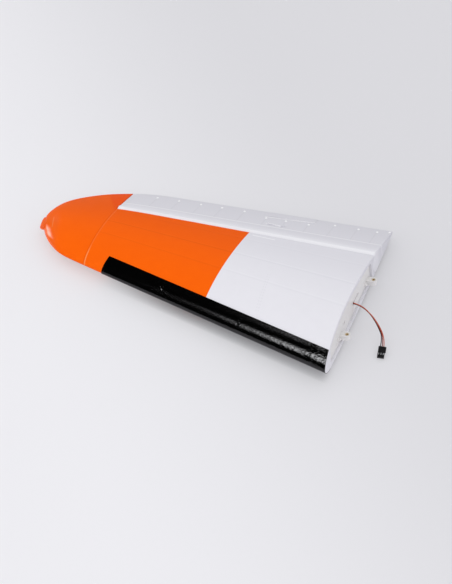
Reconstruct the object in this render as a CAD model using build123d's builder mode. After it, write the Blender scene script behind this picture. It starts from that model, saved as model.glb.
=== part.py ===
"""Outer wing panel of a moulded-foam model aeroplane, with its aileron, servo and linkage.

X runs inboard to the root, Y runs aft to the trailing edge and Z is up. The panel lies on its
underside: Z is zero where the control horn meets the surface, and Y is zero at mid root chord.
Lengths are in millimetres. A station is a distance outboard of the root.
"""

import os
from math import cos, radians, sin, sqrt, tan

from build123d import *

os.makedirs("parts", exist_ok=True)

# Planform of the foam panel
panel_length = 402.0
root_chord = 260.0
leading_edge_sweep = 0.22
trailing_edge_sweep = 0.117
root_lean = 7.0
tip_length = 79.0
leading_curve_length = 55.0
trailing_curve_length = 125.0
tip_apex_y = 9.0
seam_station = panel_length - tip_length
leading_curve_start = panel_length - leading_curve_length
trailing_curve_start = panel_length - trailing_curve_length

# Aerofoil, as shares of the local thickness at a share of the chord
root_thickness = 41.0
trailing_edge_thickness = 2.4
nose_height = 0.30
upper_terms = (1.68, 0.04, -2.84, 0.92)
lower_terms = (-1.17, 1.34, -0.74, 0.37)
points_per_side = 11
tip_rise = 8.0
tip_rise_length = 102.0
tip_rise_start = panel_length - tip_rise_length
tip_blend_length = 36.0
tip_sections = 8
tip_last_angle = 86.0

# Aileron and the cove that its round nose turns in
aileron_root_chord = 66.6
hinge_sweep = 0.0646
nose_proud = 0.5
nose_gap = 0.4
cove_lip = 0.55
aileron_end_gap = 0.8
hinge_root_y = root_chord / 2 - aileron_root_chord

# Moulded marks on the aileron: round pips ahead of its trailing edge, and a trim tab
pip_rows = (
    (10.0, (16.6, 39.1, 67.9)),
    (10.0, tuple(seam_station - inboard for inboard in (143.6, 115.3, 88.8, 61.0, 33.7))),
    (19.7, (97.0, 124.9, 149.3)),
    (5.4, (2.8,)),
)
pip_radius = 1.4
pip_height = 0.6
tab_inboard = 92.0
tab_outboard = 149.0
tab_chord = 12.5
tab_rise = 0.4
fairing_length = 22.0
fairing_width = 2.4
fairing_aft = 24.0
fairing_height = 1.0

# Leading edge boot and tip light
boot_width = 16.0
boot_thickness = 0.5
boot_short_of_tip = 105.0
boot_length = panel_length - boot_short_of_tip
light_radius = 3.8
light_length = 19.0
light_from_tip = 5.5
light_forward = 24.5
light_turn = 17.5

# Root rib, its tongues and their threaded inserts
rib_rim = 4.5
rib_recess = 2.4
rib_thickness = 2.5
rib_front_share = 0.08
rib_rear_share = 0.67
tongue_width = 9.0
tongue_thickness = 6.0
tongue_reach = 9.0
tongue_root = 14.0
front_insert_reach = 5.2
rear_insert_reach = 5.5
insert_radius = 2.3
insert_bore = 1.25
front_tongue_y = -67.5
front_tongue_height = 11.0
rear_tongue_y = 33.0
rear_tongue_height = 8.0
locator_radius = 1.75
locator_offset = 9.8
locator_rise = 2.0
lead_slot_y = -10.5
lead_slot_height = 17.0
lead_slot_length = 21.0
front_slot_y = -52.5
front_slot_length = 7.0
slot_width = 2.4

# Spars buried in the foam
spar_radius = 4.0
spar_wall = 1.0
spar_y = -38.0
spar_height = 20.0
spar_length = 250.0
aileron_spar_radius = 1.0
aileron_spar_offset = 14.0
aileron_rod_inboard = 12.0
aileron_rod_outboard = seam_station - 13.0

# Pinned hinges
hinge_stations = (26.0, 150.0, seam_station - 23.0)
leaf_width = 14.0
leaf_grip = 12.0
leaf_thickness = 1.0
knuckle_radius = 1.6
knuckle_gap = 0.3
pin_radius = 0.7
pin_fit = 0.03
running_fit = 0.06
notch_angle = 43.0

# Servo, arm and linkage, square to the hinge line
servo_station = 176.0
rod_length = 60.0
linkage_arm = 16.0
case_length = 23.0
case_width = 12.2
case_height = 22.5
case_lid_height = 5.0
case_base_height = 4.0
shaft_inset = 5.9
case_boss_radius = 5.4
case_boss_height = 1.6
lug_length = 4.7
lug_thickness = 2.4
lug_height = 15.0
shaft_radius = 2.3
hub_radius = 3.4
hub_height = 3.6
arm_thickness = 1.6
hub_clearance = 0.4
arm_tip_radius = 2.3
arm_screw_radius = 0.9
rod_radius = 0.75
rod_offset = 2.4
fork_width = 3.6
fork_thickness = 0.9
fork_gap = 1.8
fork_length = 13.0
fork_slot = 10.5
barrel_radius = 1.7
barrel_length = 7.0
keeper_radius = 3.2
keeper_wall = 0.6
keeper_length = 3.0
horn_eye_radius = 3.4
horn_thickness = 1.2
horn_base_length = 14.0
horn_base_width = 12.0
horn_base_thickness = 1.4
eye_fit = 0.12
horn_front = 1.5
horn_screw_inset = 3.0
horn_screw_spread = 4.0
horn_screw_length = 6.0

# Hatch that carries the servo
hatch_thickness = 1.4
hatch_margin = 6.0
hatch_corner = 3.0
hatch_fit = 0.2
pocket_clearance = 0.6
post_length = 5.0
post_depth = 7.0
screw_radius = 0.9
screw_head_radius = 1.7
screw_head_height = 1.0
screw_length = 7.0
servo_screw_length = 6.0
arm_cutout = 9.0
hatch_seat = 0.2

# Servo lead, given as the points of its route above the surface, and its plug
lead_radius = 1.2
lead_fit = 0.3
lead_turn_share = 0.45
lead_from_front = 6.0
lead_from_side = 1.5
plug_length = 14.0
plug_width = 7.7
plug_thickness = 2.6
plug_rail = 1.0
contact_pitch = 2.54
contact_size = 1.0
contact_proud = 0.6


def span_share(station, start):
    """How far a station lies along the tip's rounding, from 0 where it starts to 1 at the tip."""
    return min(max((station - start) / (panel_length - start), 0.0), 1.0)


def leading_edge(station):
    straight = -root_chord / 2 + leading_edge_sweep * station
    rounding = 1 - sqrt(1 - span_share(station, leading_curve_start) ** 2)
    return straight + (tip_apex_y - straight) * rounding


def trailing_edge(station):
    straight = root_chord / 2 - trailing_edge_sweep * station
    rounding = 1 - sqrt(1 - span_share(station, trailing_curve_start) ** 2)
    return straight + (tip_apex_y - straight) * rounding


def surface_height(station, y, terms, edge_thickness=0.0):
    """Height of one skin above the panel's lowest line, at a station and a place along its chord."""
    front = leading_edge(station)
    chord = trailing_edge(station) - front
    share = min(max((y - front) / chord, 0.0), 1.0)
    a, b, c, d = terms
    ordinate = nose_height + a * sqrt(share) + b * share + c * share**2 + d * share**3
    rise = tip_rise * (1 - sqrt(1 - span_share(station, tip_rise_start) ** 2))
    return rise + root_thickness * chord / root_chord * ordinate + edge_thickness * share


def upper_height(station, y):
    chord = trailing_edge(station) - leading_edge(station)
    return surface_height(station, y, upper_terms, trailing_edge_thickness * min(1.0, 4 * chord / root_chord))


def lower_height(station, y):
    return surface_height(station, y, lower_terms)


def hinge_y(station):
    return hinge_root_y - hinge_sweep * station


def hinge_height(station):
    return (upper_height(station, hinge_y(station)) + lower_height(station, hinge_y(station))) / 2


def nose_radius(station):
    return (upper_height(station, hinge_y(station)) - lower_height(station, hinge_y(station))) / 2 + nose_proud


# Stations of the servo's parts, from its case outboard to the pushrod and horn
boss_station = servo_station + case_boss_height
hub_station = boss_station + hub_clearance
arm_station = hub_station + hub_height
rod_station = arm_station + rod_offset

# The hinge line follows the middle of the skins as far as the trailing edge is straight
hinge_fall = (hinge_height(0) - hinge_height(trailing_curve_start)) / trailing_curve_start
nose_taper = (nose_radius(0) - nose_radius(trailing_curve_start)) / trailing_curve_start

# The panel rests on the horn's eye, which hangs below the hinge line by the linkage's arm
skin_z = linkage_arm + horn_eye_radius - hinge_height(0) + hinge_fall * rod_station

# Root and tip are placed so that X is zero half way between the tongues' ends and the tip light
light_width = light_radius * cos(radians(light_turn))
light_overhang = sqrt((light_length * sin(radians(light_turn))) ** 2 + light_width**2) - light_from_tip
tongue_foot = (rear_tongue_height - tongue_thickness / 2) * sin(radians(root_lean))
tongue_end = tongue_reach * cos(radians(root_lean)) - tongue_foot
root_x = (panel_length + light_overhang - tongue_end) / 2
seam_x = root_x - seam_station
root_plane = Plane(
    origin=(root_x, 0, skin_z),
    x_dir=(0, 1, 0),
    z_dir=(cos(radians(root_lean)), 0, sin(radians(root_lean))),
)

# The hinge line runs straight from its root end to its tip end
hinge_root = Vector(root_x, hinge_y(0), skin_z + hinge_height(0))
hinge_tip = Vector(seam_x, hinge_y(seam_station), hinge_root.Z - hinge_fall * seam_station)
hinge_line = hinge_root - hinge_tip
hinge_direction = hinge_line.normalized()
hinge_aft = Vector(-hinge_direction.Y, hinge_direction.X, 0).normalized()


def across_hinge(station, aft=0.0, up=0.0):
    """Plane square to the hinge line: its x points aft, its y up and its normal to the root."""
    plane = Plane(origin=hinge_root, x_dir=hinge_aft, z_dir=hinge_direction).offset(-station)
    return plane.shift_origin(plane.from_local_coords(Vector(aft, up, 0)))


def section_points(station, grow):
    """Points round the aerofoil, from the upper trailing edge over the nose to the lower one."""
    front = leading_edge(station) - grow
    chord = trailing_edge(station) - front
    shares = [(1 - cos(radians(180 * k / points_per_side))) / 2 for k in range(points_per_side + 1)]
    real = [leading_edge(station) + share * (chord - grow) for share in shares]
    placed = [front + share * chord for share in shares]
    upper = [(p, skin_z + upper_height(station, y) + grow) for p, y in zip(placed, real)]
    lower = [(p, skin_z + lower_height(station, y) - grow) for p, y in zip(placed, real)]
    nose = (front, skin_z + upper_height(station, leading_edge(station)))
    return upper[:0:-1] + [nose] + lower[1:]


def draw_section(station, grow=0.0):
    points = section_points(station, grow)
    with BuildSketch(Plane.YZ.offset(root_x - station)) as section:
        with BuildLine():
            Spline(*points)
            Line(points[-1], points[0])
        make_face()
    return section.sketch


def tip_station(step):
    angle = radians(tip_last_angle * step / tip_sections)
    return trailing_curve_start + (panel_length - trailing_curve_start) * sin(angle)


# The whole moulding before the aileron is parted from it
root_overrun = 6.0
with BuildPart() as whole_panel:
    add(draw_section(-root_overrun))
    add(draw_section(trailing_curve_start - tip_blend_length))
    loft(ruled=True)
    for station in (trailing_curve_start - tip_blend_length, trailing_curve_start - tip_blend_length / 2):
        add(draw_section(station))
    for step in range(tip_sections + 1):
        add(draw_section(tip_station(step)))
    loft()
    split(bisect_by=root_plane, keep=Keep.BOTTOM)

# Plan of the aileron's bay, and the round nose that turns in the cove
bay_height = 80.0
bay_over = 20.0


def cove_front(station):
    return hinge_y(station) - cove_lip * nose_radius(station)


def plan_behind(front_edge, inboard_station, outboard_station):
    """Plan of all that lies behind a fore edge, between two stations."""
    corners = [
        (root_x - inboard_station, front_edge(inboard_station)),
        (root_x - inboard_station, root_chord / 2 + bay_over),
        (root_x - outboard_station, root_chord / 2 + bay_over),
        (root_x - outboard_station, front_edge(outboard_station)),
    ]
    with BuildSketch() as plan:
        Polygon(*corners, align=None)
    return plan.sketch


def nose_at(station):
    """Radius of the round nose: an even taper, then a steeper one beside the tip's rounding."""
    even = nose_radius(0) - nose_taper * station
    beyond = max(station - trailing_curve_start, 0) / (seam_station - trailing_curve_start)
    return even - beyond * (nose_radius(0) - nose_taper * seam_station - nose_radius(seam_station))


def nose_cone(grow, outboard_station):
    """Round nose along the hinge line, from beyond the root to a station."""
    with BuildPart() as cone:
        for station in (-bay_over, trailing_curve_start, outboard_station):
            with BuildSketch(across_hinge(station)):
                Circle(nose_at(station) + grow)
        loft(ruled=True)
    return cone.part


def box_across(station, inboard, outboard, front, rear, bottom, top):
    """Block square to the hinge line, between two distances from a station."""
    with BuildPart() as block:
        with BuildSketch(across_hinge(station + outboard)):
            with Locations(((front + rear) / 2, (bottom + top) / 2)):
                Rectangle(rear - front, top - bottom)
        extrude(amount=outboard - inboard)
    return block.part


# Hinges: a fixed leaf with two knuckles, a moving leaf with one between them, and a pin
centre_knuckle = leaf_width / 3
hinge_seat = cove_lip * nose_radius(0) + leaf_grip


def leaf(station, front, rear, knuckles, bore):
    """Leaf with its knuckles, given as pairs of distances from the station."""
    with BuildPart() as piece:
        add(box_across(station, -leaf_width / 2, leaf_width / 2, front, rear, -leaf_thickness / 2, leaf_thickness / 2))
        with BuildSketch(across_hinge(station + leaf_width / 2)):
            Circle(knuckle_radius + knuckle_gap)
        extrude(amount=leaf_width, mode=Mode.SUBTRACT)
        for near, far in knuckles:
            add(box_across(station, near, far, min(front, 0), max(rear, 0), -leaf_thickness / 2, leaf_thickness / 2))
            with BuildSketch(across_hinge(station + far)):
                Circle(knuckle_radius)
            extrude(amount=far - near)
        with BuildSketch(across_hinge(station + leaf_width)):
            Circle(bore)
        extrude(amount=2 * leaf_width, mode=Mode.SUBTRACT)
    return piece.part


outer_knuckles = [
    (-leaf_width / 2, -centre_knuckle / 2 - knuckle_gap),
    (centre_knuckle / 2 + knuckle_gap, leaf_width / 2),
]
inner_knuckle = [(-centre_knuckle / 2, centre_knuckle / 2)]
with BuildPart() as hinge_fixed_leaves:
    for station in hinge_stations:
        add(leaf(station, -hinge_seat, 0, outer_knuckles, pin_radius + pin_fit))
with BuildPart() as hinge_moving_leaves:
    for station in hinge_stations:
        add(leaf(station, 0, leaf_grip, inner_knuckle, pin_radius + running_fit))
with BuildPart() as hinge_pins:
    for station in hinge_stations:
        with BuildSketch(across_hinge(station + leaf_width / 2)):
            Circle(pin_radius)
        extrude(amount=leaf_width)

# Servo on its side, its shaft parallel to the hinge line and at the hinge line's height
servo_aft = -rod_length
case_rear = servo_aft + shaft_inset
case_front = case_rear - case_length
servo_base = servo_station - case_height
lug_station = servo_base + lug_height


def case_block(near, far, front=case_front, rear=case_rear):
    return box_across(0, near, far, front, rear, -case_width / 2, case_width / 2)


with BuildPart() as servo_base_cover:
    add(case_block(servo_base, servo_base + case_base_height))
    end_face = servo_base_cover.faces().sort_by(Axis(hinge_root, hinge_direction))[-1]
    fillet(end_face.edges(), 0.8)
with BuildPart() as servo_case:
    add(case_block(servo_base + case_base_height, servo_station - case_lid_height))
    add(case_block(lug_station, lug_station + lug_thickness, case_front - lug_length, case_rear + lug_length))
    for lug_aft in (case_front - lug_length / 2, case_rear + lug_length / 2):
        with BuildSketch(across_hinge(lug_station + lug_thickness, lug_aft)):
            Circle(screw_radius + running_fit)
        extrude(amount=lug_thickness, mode=Mode.SUBTRACT)
with BuildPart() as servo_case_lid:
    add(case_block(servo_station - case_lid_height, servo_station))
    with BuildSketch(across_hinge(boss_station, servo_aft)):
        Circle(case_boss_radius)
    extrude(amount=case_boss_height)
    with BuildSketch(across_hinge(boss_station, servo_aft)):
        Circle(shaft_radius + running_fit)
    extrude(amount=case_boss_height + case_lid_height - 1, mode=Mode.SUBTRACT)
shaft_end = arm_station - arm_thickness
with BuildPart() as servo_shaft:
    with BuildSketch(across_hinge(shaft_end, servo_aft)):
        Circle(shaft_radius)
    extrude(amount=shaft_end - servo_station + 2)
    with BuildSketch(across_hinge(shaft_end, servo_aft)):
        Circle(arm_screw_radius)
    extrude(amount=shaft_end - servo_station, mode=Mode.SUBTRACT)

# Arm on the shaft, hanging down to the pushrod
with BuildPart() as servo_arm:
    with BuildSketch(across_hinge(arm_station, servo_aft)):
        Circle(hub_radius)
    extrude(amount=hub_height)
    with BuildSketch(across_hinge(arm_station, servo_aft)):
        with BuildLine():
            tip_centre = (0, -linkage_arm)
            left = Line((-hub_radius, 0), (-arm_tip_radius, -linkage_arm))
            ThreePointArc(left @ 1, (0, -linkage_arm - arm_tip_radius), (arm_tip_radius, -linkage_arm))
            Line((arm_tip_radius, -linkage_arm), (hub_radius, 0))
            Line((hub_radius, 0), (-hub_radius, 0))
        make_face()
        with Locations(tip_centre, (0, -linkage_arm + 4), (0, -linkage_arm + 8)):
            Circle(rod_radius + running_fit, mode=Mode.SUBTRACT)
    extrude(amount=arm_thickness)
    with BuildSketch(across_hinge(arm_station - arm_thickness, servo_aft)):
        Circle(shaft_radius + pin_fit)
    extrude(amount=hub_height, mode=Mode.SUBTRACT)
    with BuildSketch(across_hinge(arm_station, servo_aft)):
        Circle(arm_screw_radius + pin_fit)
    extrude(amount=hub_height, mode=Mode.SUBTRACT)
with BuildPart() as servo_arm_screw:
    with BuildSketch(across_hinge(arm_station + screw_head_height, servo_aft)):
        Circle(screw_head_radius)
    extrude(amount=screw_head_height)
    with BuildSketch(across_hinge(arm_station, servo_aft)):
        Circle(arm_screw_radius - pin_fit)
    extrude(amount=arm_station - servo_station - 1)

# Pushrod: a bent leg through the arm, then straight aft into the clevis
rod_end = -fork_length - barrel_length / 3
with BuildPart() as pushrod:
    leg_foot = across_hinge(arm_station - arm_thickness - 1.2, servo_aft, -linkage_arm)
    corner = across_hinge(rod_station, servo_aft, -linkage_arm)
    far_end = across_hinge(rod_station, rod_end, -linkage_arm)
    with BuildLine() as rod_path:
        FilletPolyline(leg_foot.origin, corner.origin, far_end.origin, radius=1.6)
    with BuildSketch(Plane(leg_foot.origin, z_dir=rod_path.wire() % 0)):
        Circle(rod_radius)
    sweep()

# Clevis: a fork over the horn, its pin, and the barrel that screws on to the rod
fork_side = fork_gap / 2 + fork_thickness
with BuildPart() as clevis:
    fork_bottom = -linkage_arm - fork_width / 2
    fork_top = -linkage_arm + fork_width / 2
    add(box_across(rod_station, -fork_side, fork_side, -fork_length, fork_width / 2, fork_bottom, fork_top))
    add(
        box_across(rod_station, -fork_gap / 2, fork_gap / 2, -fork_slot, fork_width, fork_bottom, fork_top),
        mode=Mode.SUBTRACT,
    )
    barrel_plane = Plane(
        across_hinge(rod_station, -fork_length, -linkage_arm).origin, x_dir=hinge_direction, z_dir=-hinge_aft
    )
    with BuildSketch(barrel_plane):
        Circle(barrel_radius)
    extrude(amount=barrel_length)
    with BuildSketch(barrel_plane.offset(barrel_length)):
        Circle(rod_radius + pin_fit)
    extrude(amount=-barrel_length - 2.0, mode=Mode.SUBTRACT)
    with BuildSketch(across_hinge(rod_station + fork_side, 0, -linkage_arm)):
        Circle(rod_radius)
    extrude(amount=2 * fork_side)
with BuildPart() as clevis_keeper:
    keeper_plane = Plane(
        across_hinge(rod_station, -fork_length / 2, -linkage_arm).origin, x_dir=hinge_direction, z_dir=-hinge_aft
    )
    with BuildSketch(keeper_plane):
        Circle(keeper_radius)
        Circle(keeper_radius - keeper_wall, mode=Mode.SUBTRACT)
    extrude(amount=keeper_length)

# Horn: a blade from the aileron's underside down to the eye, on a base let into the foam
horn_seat = skin_z + lower_height(rod_station, hinge_y(rod_station) + horn_base_length)
horn_seat -= across_hinge(rod_station).origin.Z
horn_rear = horn_front + horn_base_length
with BuildPart() as control_horn:
    add(
        box_across(
            rod_station,
            -horn_base_width / 2,
            horn_base_width / 2,
            horn_front,
            horn_rear,
            horn_seat - horn_base_thickness,
            horn_seat,
        )
    )
    with BuildSketch(across_hinge(rod_station + horn_thickness / 2)):
        with BuildLine():
            foot = horn_seat - horn_base_thickness / 2
            front_edge = Line((horn_front, foot), (-horn_eye_radius, -linkage_arm))
            ThreePointArc(front_edge @ 1, (0, -linkage_arm - horn_eye_radius), (horn_eye_radius, -linkage_arm))
            Line((horn_eye_radius, -linkage_arm), (horn_rear - 2, foot))
            Line((horn_rear - 2, foot), (horn_front, foot))
        make_face()
        with Locations((0, -linkage_arm)):
            Circle(rod_radius + eye_fit, mode=Mode.SUBTRACT)
    extrude(amount=horn_thickness)
    horn_screw_places = [
        (side, aft)
        for side in (-horn_screw_spread, horn_screw_spread)
        for aft in (horn_front + horn_screw_inset, horn_rear - horn_screw_inset)
    ]
    for side, aft in horn_screw_places:
        hole_plane = Plane(
            across_hinge(rod_station + side, aft, horn_seat).origin, x_dir=hinge_direction, z_dir=across_hinge(0).y_dir
        )
        with BuildSketch(hole_plane):
            Circle(screw_radius)
        extrude(amount=-horn_base_thickness, mode=Mode.SUBTRACT)


def screw(plane, length):
    """Pan-headed screw: the plane is the head's seat and its normal points out of the head."""
    with BuildPart() as piece:
        with BuildSketch(plane):
            Circle(screw_head_radius)
        extrude(amount=screw_head_height)
        fillet(piece.edges().sort_by(Axis(plane.origin, plane.z_dir))[-1], screw_head_height / 2)
        with BuildSketch(plane):
            Circle(screw_radius - pin_fit)
        extrude(amount=-length)
    return piece.part


def facing(point, normal):
    """Plane at a point with its x along the hinge line."""
    return Plane(point.origin, x_dir=hinge_direction, z_dir=normal)


hinge_up = across_hinge(0).y_dir
lug_places = (case_front - lug_length / 2, case_rear + lug_length / 2)
with BuildPart() as horn_screws:
    for side, aft in horn_screw_places:
        head_seat = across_hinge(rod_station + side, aft, horn_seat - horn_base_thickness)
        add(screw(facing(head_seat, -hinge_up), horn_screw_length))
with BuildPart() as servo_screws:
    for aft in lug_places:
        head_seat = across_hinge(lug_station + lug_thickness, aft)
        add(screw(Plane(head_seat.origin, z_dir=-hinge_direction), servo_screw_length))

# Hatch: a plate let into the underside, with two posts that the servo's lugs are screwed to
pocket_inboard = servo_base - pocket_clearance
pocket_outboard = arm_station + screw_head_height + 2.0
pocket_front = case_front - lug_length - pocket_clearance
pocket_rear = case_rear + lug_length + pocket_clearance
pocket_top = case_width / 2 + pocket_clearance
pocket_depth = 40.0
hatch_length = pocket_outboard - pocket_inboard + 2 * hatch_margin
hatch_width = pocket_rear - pocket_front + 2 * hatch_margin
hatch_middle = across_hinge((pocket_inboard + pocket_outboard) / 2, (pocket_front + pocket_rear) / 2).origin
hatch_z = skin_z + lower_height(servo_station, hatch_middle.Y) + hatch_seat
hatch_plane = Plane((hatch_middle.X, hatch_middle.Y, hatch_z), x_dir=(hinge_direction.X, hinge_direction.Y, 0))
hatch_screw_grid = (hatch_length - hatch_margin, hatch_width - hatch_margin)
with BuildPart() as servo_hatch:
    with BuildSketch(hatch_plane):
        RectangleRounded(hatch_length, hatch_width, hatch_corner)
        with GridLocations(*hatch_screw_grid, 2, 2):
            Circle(screw_radius, mode=Mode.SUBTRACT)
    extrude(amount=hatch_thickness)
    for near, far in (
        (case_front - lug_length, case_front - pin_fit),
        (case_rear + pin_fit, case_rear + lug_length),
    ):
        post_foot = hatch_z + hatch_thickness / 2 - hatch_middle.Z
        add(box_across(lug_station, -post_length, 0, near, far, post_foot, post_depth / 2))
    arm_front = servo_aft - arm_cutout
    arm_rear = servo_aft + arm_cutout
    add(
        box_across(arm_station, -arm_thickness - 1, 1, arm_front, arm_rear, -pocket_depth, 0),
        mode=Mode.SUBTRACT,
    )
    for aft in lug_places:
        with BuildSketch(across_hinge(lug_station, aft)):
            Circle(screw_radius)
        extrude(amount=post_length, mode=Mode.SUBTRACT)
with BuildPart() as hatch_screws:
    for corner_place in GridLocations(*hatch_screw_grid, 2, 2).local_locations:
        seat = Plane(hatch_plane.from_local_coords(corner_place.position), x_dir=hinge_aft, z_dir=(0, 0, -1))
        add(screw(seat, screw_length))

# Root rib with two tongues, slots and round locators
rib_back = rib_recess + rib_thickness


def rib_face(inset):
    """Outline of the rib in the root plane, inside the foam rim."""
    front = leading_edge(0) + rib_front_share * root_chord + inset
    rear = leading_edge(0) + rib_rear_share * root_chord - inset
    places = [front + (rear - front) * k / 6 for k in range(7)]
    upper = [(y, upper_height(0, y) - rib_rim - inset) for y in places]
    lower = [(y, lower_height(0, y) + rib_rim + inset) for y in places]
    with BuildSketch(root_plane) as outline:
        with BuildLine():
            Spline(*upper)
            Line(upper[-1], lower[-1])
            Spline(*lower)
            Line(lower[0], upper[0])
        make_face()
    return outline.sketch


rib_fit = 0.15
tongue_centres = ((front_tongue_y, front_tongue_height), (rear_tongue_y, rear_tongue_height))
insert_planes = [
    Plane(
        root_plane.from_local_coords(Vector(y, height - tongue_thickness / 2, reach)),
        x_dir=(0, 1, 0),
        z_dir=root_plane.y_dir,
    )
    for (y, height), reach in zip(tongue_centres, (front_insert_reach, rear_insert_reach))
]
exit_y = lead_slot_y - lead_slot_length / 2 + 2.0
exit_radius = lead_radius + lead_fit + 0.4
with BuildPart() as root_rib:
    extrude(rib_face(rib_fit), amount=-rib_back, dir=root_plane.z_dir)
    with BuildSketch(root_plane):
        Rectangle(2 * root_chord, root_chord)
    extrude(amount=-rib_recess, mode=Mode.SUBTRACT)
    with BuildSketch(root_plane.offset(-rib_back - tongue_root)):
        with Locations(*tongue_centres):
            Rectangle(tongue_width, tongue_thickness)
    extrude(amount=rib_back + tongue_root + tongue_reach)
    tongue_ends = root_rib.faces().sort_by(Axis(root_plane.origin, root_plane.z_dir))[-2:]
    fillet(tongue_ends.edges().filter_by(Axis(root_plane.origin, root_plane.y_dir)), tongue_width / 2 - 0.6)
    for plane in insert_planes:
        with BuildSketch(plane):
            Circle(insert_radius)
        extrude(amount=tongue_thickness, mode=Mode.SUBTRACT)
    with BuildSketch(root_plane):
        with Locations((lead_slot_y, lead_slot_height)):
            SlotOverall(lead_slot_length, slot_width)
        with Locations((front_slot_y, lead_slot_height)):
            SlotOverall(front_slot_length, slot_width)
        with Locations((exit_y, lead_slot_height)):
            Circle(exit_radius)
    extrude(amount=-2 * rib_back, mode=Mode.SUBTRACT)
    for y, height in tongue_centres:
        with BuildSketch(root_plane.offset(-rib_back)):
            with Locations((y - locator_offset, height + locator_rise)):
                Circle(locator_radius)
        extrude(amount=rib_back + locator_radius / 2)
    round_edges = root_rib.edges().filter_by(GeomType.CIRCLE).sort_by(Axis(root_plane.origin, root_plane.z_dir))
    locator_rims = [edge for edge in round_edges if abs(edge.radius - locator_radius) < 0.01][-2:]
    fillet(locator_rims, locator_radius * 0.6)


def insert_at(plane):
    """Threaded brass insert through a tongue, with its bore at the thread's core."""
    with BuildPart() as piece:
        with BuildSketch(plane):
            Circle(insert_radius)
            Circle(insert_bore, mode=Mode.SUBTRACT)
        extrude(amount=tongue_thickness)
    return piece


front_insert, rear_insert = [insert_at(plane) for plane in insert_planes]

# Spar tube behind the rib, and a rod along the aileron
spar_start = root_x - 2 * rib_back - (spar_height + spar_radius) * tan(radians(root_lean))
with BuildPart() as main_spar:
    with BuildSketch(Plane.YZ.offset(spar_start)):
        with Locations((spar_y, skin_z + spar_height)):
            Circle(spar_radius)
            Circle(spar_radius - spar_wall, mode=Mode.SUBTRACT)
    extrude(amount=-spar_length)
with BuildPart() as aileron_rod:
    with BuildSketch(across_hinge(aileron_rod_outboard, aileron_spar_offset)):
        Circle(aileron_spar_radius)
    extrude(amount=aileron_rod_outboard - aileron_rod_inboard)

# Servo lead: buried from the servo to the rib, then free to the plug
lead_start = across_hinge(
    servo_base - lead_fit, case_front + lead_from_front, case_width / 2 - lead_from_side
).origin
lead_exit = root_plane.from_local_coords(Vector(exit_y, lead_slot_height, -rib_recess))
lead_axis = (lead_exit - lead_start).normalized()
lead_buried_length = (lead_exit - lead_start).length
with BuildPart() as lead_in_wing:
    with BuildSketch(Plane(lead_start, z_dir=lead_axis)):
        Circle(lead_radius)
    extrude(amount=lead_buried_length)
plug_origin = Vector(root_x + 41.8, -56.5, 6.6)
plug_direction = Vector(0.16, -0.94, -0.30).normalized()
lead_points = [
    lead_exit,
    lead_exit + lead_axis * 9.0,
    Vector(root_x + 19.5, -24.5, 21.5),
    Vector(root_x + 31.0, -32.0, 15.5),
    plug_origin - plug_direction * 13.0,
    plug_origin,
]


def lead_radii(points):
    """Arc radius at each inner point of the route, as large as its two runs allow."""
    radii = []
    for before, point, after in zip(points, points[1:], points[2:]):
        arriving = point - before
        leaving = after - point
        half_turn = radians(arriving.get_angle(leaving) / 2)
        radii.append(lead_turn_share * min(arriving.length, leaving.length) / tan(half_turn))
    return radii


print("lead radii", [round(radius, 1) for radius in lead_radii(lead_points)])
with BuildPart() as servo_lead:
    with BuildLine() as route:
        FilletPolyline(*lead_points, radius=lead_radii(lead_points))
    with BuildSketch(Plane(lead_exit, z_dir=route.wire() % 0)):
        Circle(lead_radius)
    sweep()
print("lead length", round(route.wire().length, 1), "volume", round(servo_lead.part.volume, 1))

# Plug on the end of the lead, lying on the surface with its fore edge
plug_plane = Plane(plug_origin, x_dir=(-plug_direction.Y, plug_direction.X, 0), z_dir=plug_direction)
contact_window = 2.6
contact_from_front = 3.2
with BuildPart() as lead_connector:
    with BuildSketch(plug_plane):
        Rectangle(plug_width, plug_thickness)
        with Locations((plug_width / 2 + plug_rail / 2, 0)):
            Rectangle(plug_rail, plug_thickness / 2)
    extrude(amount=plug_length)
    with BuildSketch(plug_plane.offset(plug_length)):
        with Locations((plug_width / 2 + plug_rail / 2, 0)):
            Rectangle(plug_rail, plug_thickness)
    extrude(amount=-plug_length / 2, mode=Mode.SUBTRACT)
    with BuildSketch(plug_plane.offset(plug_length - contact_from_front)):
        with GridLocations(contact_pitch, 0, 3, 1):
            Rectangle(contact_size, plug_thickness)
    extrude(amount=-contact_window, mode=Mode.SUBTRACT)
with BuildPart() as connector_contacts:
    with BuildSketch(plug_plane.offset(plug_length - contact_from_front)):
        with GridLocations(contact_pitch, 0, 3, 1):
            Rectangle(contact_size, plug_thickness - 2 * contact_proud / 3)
    extrude(amount=-contact_window)

# Leading edge boot: a thin skin wrapped round the nose of the foam
with BuildPart() as leading_edge_boot:
    for station in (-root_overrun, trailing_curve_start, boot_length + 20):
        add(draw_section(station, boot_thickness))
    loft(ruled=True)
    split(bisect_by=root_plane, keep=Keep.BOTTOM)
    strip_corners = [
        (root_x + 20, leading_edge(-20) - 20),
        (root_x + 20, leading_edge(-20) + boot_width),
        (root_x - boot_length + 4, leading_edge(boot_length) + boot_width),
        (root_x - boot_length - 4, leading_edge(boot_length) - 20),
    ]
    with BuildSketch():
        Polygon(*strip_corners, align=None)
    extrude(amount=bay_height, mode=Mode.INTERSECT)
    add(whole_panel.part, mode=Mode.SUBTRACT)

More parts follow.
